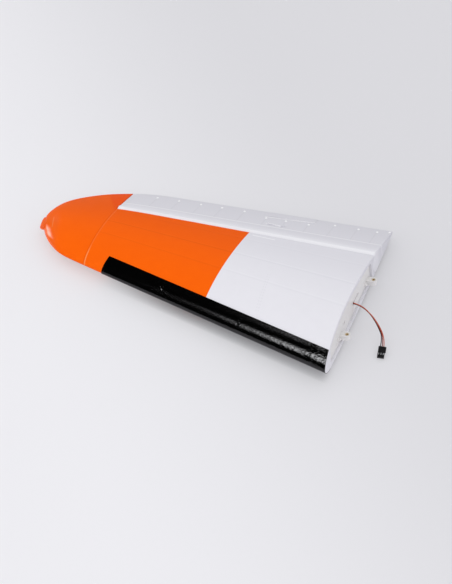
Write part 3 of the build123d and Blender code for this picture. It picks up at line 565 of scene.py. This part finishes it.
def lit_paper():
    """Matt paper with a painted glow that only the camera sees: pale, with soft shadows, and clear where it
    is seen from below.

    Its fibres are too fine to show, and are drawn at 2 mm.
    """
    finish = Finish("paper_floor")
    tone = finish.tint(linear("#E8E7EC"), hue("floor"), finish.clouds(0.8, detail=2.0))
    finish.surface(tone, finish.grain(0.002, 0.00003), roughness=0.7)
    x, y, _ = finish.axes()
    right = finish.fade(finish.total(x, (y, GLOW_LEAN)), *GLOW_SPAN)
    sockets = {"Distance": CONTACT_REACH}
    open_air = finish.add("ShaderNodeAmbientOcclusion", sockets, samples=16).outputs["AO"]
    # Painted shadow: the glow dims close under the boot, fading out towards the tip and at the root
    close = finish.total(1.0, (finish.product(open_air, open_air), -1.0))
    close = finish.product(close, finish.fade(x, *CONTACT_START), finish.fade(x, *CONTACT_END))
    level = finish.product(finish.total(GLOW_LEVEL, (right, -GLOW_FALL)), finish.total(1.0, (close, -1.0)))
    glow = finish.add("ShaderNodeEmission", {"Color": PAPER_GLOW, "Strength": level}).outputs[0]
    # Only the camera sees the glow, and the object's shadow shows at part of its strength
    seen = finish.add("ShaderNodeLightPath").outputs["Is Camera Ray"]
    sockets = {0: finish.product(seen, GLOW_SHARE), 1: finish.shader, 2: glow}
    paper = finish.add("ShaderNodeMixShader", sockets).outputs[0]
    below = finish.add("ShaderNodeNewGeometry").outputs["Backfacing"]
    clear = finish.add("ShaderNodeBsdfTransparent").outputs[0]
    sides = finish.add("ShaderNodeMixShader", {0: below, 1: paper, 2: clear}).outputs[0]
    finish.tree.links.new(sides, finish.end)
    return finish.material


def studio_room():
    """An even dome that lights the object, and the dark room with lit areas that gloss and metal show."""
    world = bpy.data.worlds.new("studio")
    world.use_nodes = True
    world.cycles.sampling_method = "NONE"
    marks = Marks(world.node_tree)
    direction = marks.add("ShaderNodeTexCoord").outputs["Generated"]
    axes = marks.add("ShaderNodeSeparateXYZ", {0: direction}).outputs
    dome = marks.total(1.0, (marks.fade(axes[1], -1.0, 1.0), -DOME_FALL))
    shown = marks.product(marks.fade(axes[1], *WALL_EDGE), WALL_LEVEL)
    for bounds, strength in LIT_AREAS:
        area = marks.product(*(marks.fade(axes[axis], clear, full) for axis, clear, full in bounds))
        shown = marks.total(shown, (area, strength))
    even = marks.add("ShaderNodeBackground", {"Color": DOME_COLOUR, "Strength": dome}).outputs[0]
    gloss = marks.add("ShaderNodeBackground", {"Color": ROOM_COLOUR, "Strength": shown}).outputs[0]
    glossy_ray = marks.add("ShaderNodeLightPath").outputs["Is Glossy Ray"]
    mixed = marks.add("ShaderNodeMixShader", {0: glossy_ray, 1: even, 2: gloss}).outputs[0]
    marks.add("ShaderNodeOutputWorld", {"Surface": mixed})
    return world


class WingPanelSizes(bpy.types.PropertyGroup):
    """Sizes that a user would change."""

    wire_width: bpy.props.FloatProperty(
        name="Wire width",
        description="Diameter of one insulated wire of the servo lead",
        default=0.00105,
        unit="LENGTH",
        precision=5,
    )
    floor_size: bpy.props.FloatProperty(
        name="Floor size", description="Side of the square floor", default=14.0, unit="LENGTH"
    )


class WingPanelLooks(bpy.types.PropertyGroup):
    """Colours that a user would change, as sRGB hex values."""

    white: bpy.props.StringProperty(name="White", description="Bare foam", default="#EAE9ED")
    white_shade: bpy.props.StringProperty(
        name="White, shaded", description="Bare foam's clouds", default="#E6E5E9"
    )
    orange: bpy.props.StringProperty(name="Orange", description="Sprayed foam", default="#FF6700")
    orange_shade: bpy.props.StringProperty(
        name="Orange, shaded", description="Sprayed foam's clouds", default="#FB6200"
    )
    # Painted shade on the aileron, behind its nose and towards its thin edge
    aileron_painted_shade: bpy.props.StringProperty(
        name="Aileron, shaded", description="Foam behind the hinge line", default="#DCDBE0"
    )
    aileron_edge_painted_shade: bpy.props.StringProperty(
        name="Aileron, edge", description="Foam towards the aileron's thin edge", default="#D6D5DA"
    )
    # Painted shade on the panel ahead of the hinge line, in white and in orange
    painted_shade_white: bpy.props.StringProperty(
        name="White, aft", description="Bare foam ahead of the hinge line", default="#DDDCE1"
    )
    painted_shade_orange: bpy.props.StringProperty(
        name="Orange, aft", description="Sprayed foam ahead of the hinge line", default="#EF5C00"
    )
    # The groove colour is painted shade, laid in the aileron's rib grooves
    groove: bpy.props.StringProperty(name="Groove", description="Dust in moulded lines", default="#6E6A6C")
    boot: bpy.props.StringProperty(name="Boot", description="Leading edge film", default="#030303")
    nylon: bpy.props.StringProperty(name="Nylon", description="Rib, hatch and horn", default="#EFEDEB")
    brass: bpy.props.StringProperty(name="Brass", description="Threaded inserts", default="#F6E6C2")
    brass_shade: bpy.props.StringProperty(name="Brass, shaded", description="Tarnish", default="#EAD3A6")
    steel: bpy.props.StringProperty(name="Steel", description="Screws and rod", default="#C9CBCD")
    steel_shade: bpy.props.StringProperty(
        name="Steel, shaded", description="Plating's clouds", default="#A9ACAF"
    )
    floor: bpy.props.StringProperty(name="Floor", description="Pale paper floor", default="#EDECF1")


def give(material, *names):
    """Assign a material to CAD nodes."""
    for name in names:
        slots = nodes[name].data.materials
        if not slots:
            slots.append(material)
        for k in range(len(slots)):
            slots[k] = material


class WINGPANEL_OT_stage(bpy.types.Operator):
    """Camera, pale floor, one soft lamp and world"""

    bl_idname = "wingpanel.stage"
    bl_label = "Stage"

    def execute(self, context):
        camera_data = bpy.data.cameras.new("camera")
        camera_data.sensor_width = 36.0
        camera_data.lens = FOCAL_LENGTH
        camera_data.clip_end = 60.0
        camera = bpy.data.objects.new("camera", camera_data)
        camera.location = CAMERA_PLACE
        camera.rotation_euler = CAMERA_TURN
        context.scene.collection.objects.link(camera)
        context.scene.camera = camera

        side = context.scene.wing_panel_sizes.floor_size
        bpy.ops.mesh.primitive_grid_add(x_subdivisions=24, y_subdivisions=24, size=side, location=(0, 0, 0))
        floor = context.object
        floor.name = "floor"
        floor.data.materials.append(lit_paper())

        lamp_data = bpy.data.lights.new("key_softbox", "AREA")
        lamp_data.shape = "SQUARE"
        lamp_data.size = KEY_SIZE
        lamp_data.energy = KEY_POWER
        lamp = bpy.data.objects.new("key_softbox", lamp_data)
        lamp.location = KEY_PLACE
        lamp.rotation_euler = (-Vector(KEY_PLACE)).to_track_quat("-Z", "Y").to_euler()
        lamp.visible_glossy = False
        context.scene.collection.objects.link(lamp)

        context.scene.world = studio_room()
        context.scene.view_settings.view_transform = "Standard"
        return {"FINISHED"}


def lead_line():
    """Points along the smooth line that the servo lead follows, read from its NURBS spline."""
    curve = bpy.data.curves.new("lead_line", "CURVE")
    curve.dimensions = "3D"
    curve.resolution_u = 16
    spline = curve.splines.new("NURBS")
    spline.points.add(len(LEAD_ROUTE) - 1)
    for point, place in zip(spline.points, LEAD_ROUTE):
        point.co = (*place, 1.0)
    spline.order_u = 3
    spline.use_endpoint_u = True
    guide = bpy.data.objects.new("lead_line", curve)
    bpy.context.scene.collection.objects.link(guide)
    bpy.context.view_layer.update()
    line = bpy.data.meshes.new_from_object(guide)
    points = [vertex.co.copy() for vertex in line.vertices]
    bpy.data.objects.remove(guide)
    bpy.data.meshes.remove(line)
    return points


def wire_ring(points, k, number, width):
    """Points round one wire at the lead's k-th point. The wires are numbered -1, 0 and 1 across it."""
    ahead = (points[min(k + 1, len(points) - 1)] - points[max(k - 1, 0)]).normalized()
    level = ahead.cross(Vector((0, 0, 1))).normalized()
    upright = level.cross(ahead).normalized()
    share = k / (len(points) - 1)
    turn = RIB_TURN * (1 - min(1.0, max(0.0, (share - TURN_START) / TURN_LENGTH)))
    across = upright * math.sin(turn) - level * math.cos(turn)
    normal = ahead.cross(across)
    spread = width * (WIRE_STEP + FAN * max(0.0, share - FAN_START) / (1 - FAN_START))
    middle = points[k] + across * number * spread
    angles = [2 * math.pi * side / WIRE_SIDES for side in range(WIRE_SIDES)]
    return [middle + (across * math.cos(angle) + normal * math.sin(angle)) * width / 2 for angle in angles]


class WINGPANEL_OT_servo_lead(bpy.types.Operator):
    """Three wires, side by side on edge at the rib and fanned flat at the plug"""

    bl_idname = "wingpanel.servo_lead"
    bl_label = "Servo lead"

    def execute(self, context):
        points = lead_line()
        wire = context.scene.wing_panel_sizes.wire_width
        vertices, faces, wire_of_face = [], [], []
        for number in (-1, 0, 1):
            first = len(vertices)
            for k in range(len(points)):
                vertices.extend(tuple(place) for place in wire_ring(points, k, number, wire))
            for start in range(first, len(vertices) - WIRE_SIDES, WIRE_SIDES):
                for side in range(WIRE_SIDES):
                    a = start + side
                    b = start + (side + 1) % WIRE_SIDES
                    faces.append((a, b, b + WIRE_SIDES, a + WIRE_SIDES))
            faces.append(tuple(range(first, first + WIRE_SIDES)))
            faces.append(tuple(range(len(vertices) - 1, len(vertices) - 1 - WIRE_SIDES, -1)))
            wire_of_face.extend([number + 1] * (len(faces) - len(wire_of_face)))
        mesh = bpy.data.meshes.new("servo_wires")
        mesh.from_pydata(vertices, [], faces)
        lead = bpy.data.objects.new("servo_wires", mesh)
        context.scene.collection.objects.link(lead)
        for name, colour, shade in WIRES:
            mesh.materials.append(wire_insulation(name, colour, shade))
        for polygon, number in zip(mesh.polygons, wire_of_face):
            polygon.material_index = number
            polygon.use_smooth = True
        context.view_layer.objects.active = lead
        lead.select_set(True)
        bpy.ops.object.mode_set(mode="EDIT")
        bpy.ops.mesh.select_all(action="SELECT")
        bpy.ops.mesh.normals_make_consistent(inside=False)
        bpy.ops.object.mode_set(mode="OBJECT")
        lead.select_set(False)
        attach(lead, "panel")
        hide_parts("servo_lead")
        return {"FINISHED"}


class WINGPANEL_OT_foam(bpy.types.Operator):
    """Painted panel, white aileron and the tip light's fairing"""

    bl_idname = "wingpanel.foam"
    bl_label = "Foam skins"

    def execute(self, context):
        give(painted_foam(), "wing_panel", "tip_light")
        give(white_foam(), "aileron")
        return {"FINISHED"}


class WINGPANEL_OT_boot(bpy.types.Operator):
    """Gloss film round the leading edge"""

    bl_idname = "wingpanel.boot"
    bl_label = "Leading edge boot"

    def execute(self, context):
        give(boot_film(), "leading_edge_boot")
        return {"FINISHED"}


class WINGPANEL_OT_root(bpy.types.Operator):
    """Root rib, its inserts, the servo's brass shaft and the plug"""

    bl_idname = "wingpanel.root"
    bl_label = "Root rib"

    def execute(self, context):
        give(moulded_nylon("moulded_nylon", hue("nylon"), 0.42), "root_rib")
        give(turned_brass(), "front_insert", "rear_insert", "servo_shaft")
        give(tinned_bronze(), "connector_contacts")
        give(moulded_nylon("plug_housing", linear("#1D1C1D"), 0.36), "lead_connector")
        return {"FINISHED"}


class WINGPANEL_OT_linkage(bpy.types.Operator):
    """Servo, hatch, horn, rod, hinges and spars"""

    bl_idname = "wingpanel.linkage"
    bl_label = "Servo and linkage"

    def execute(self, context):
        nylon = nodes["root_rib"].data.materials[0]
        give(nylon, "servo_hatch", "control_horn", "clevis", "servo_arm")
        give(nylon, "hinge_fixed_leaves", "hinge_moving_leaves")
        screws = ("hatch_screws", "servo_screws", "servo_arm_screw", "horn_screws")
        give(drawn_steel(), *screws, "hinge_pins", "pushrod")
        give(carbon_tube(), "main_spar", "aileron_rod")
        case = moulded_nylon("servo_case_plastic", linear("#1B1C20"), 0.34)
        give(case, "servo_base_cover", "servo_case", "servo_case_lid")
        give(soft_rubber(), "clevis_keeper")
        give(wire_insulation("lead_sleeve", "#3A1C12", "#2A130C"), "lead_in_wing")
        return {"FINISHED"}


class WINGPANEL_PT_panel(bpy.types.Panel):
    """Steps that dress the wing panel"""

    bl_idname = "WINGPANEL_PT_panel"
    bl_label = "Wing Panel"
    bl_space_type = "VIEW_3D"
    bl_region_type = "UI"
    bl_category = "Wing Panel"

    def draw(self, context):
        for step in steps:
            self.layout.operator(step.bl_idname)


steps = (
    WINGPANEL_OT_stage,
    WINGPANEL_OT_servo_lead,
    WINGPANEL_OT_foam,
    WINGPANEL_OT_boot,
    WINGPANEL_OT_root,
    WINGPANEL_OT_linkage,
)
classes = (WingPanelSizes, WingPanelLooks, *steps, WINGPANEL_PT_panel)


def register():
    for made in classes:
        bpy.utils.register_class(made)
    bpy.types.Scene.wing_panel_sizes = bpy.props.PointerProperty(type=WingPanelSizes)
    bpy.types.Scene.wing_panel_looks = bpy.props.PointerProperty(type=WingPanelLooks)


def unregister():
    del bpy.types.Scene.wing_panel_looks
    del bpy.types.Scene.wing_panel_sizes
    for made in reversed(classes):
        bpy.utils.unregister_class(made)


def main():
    register()
    bpy.ops.wingpanel.stage()
    bpy.ops.wingpanel.servo_lead()
    bpy.ops.wingpanel.foam()
    bpy.ops.wingpanel.boot()
    bpy.ops.wingpanel.root()
    bpy.ops.wingpanel.linkage()


if __name__ == "__main__":
    main()
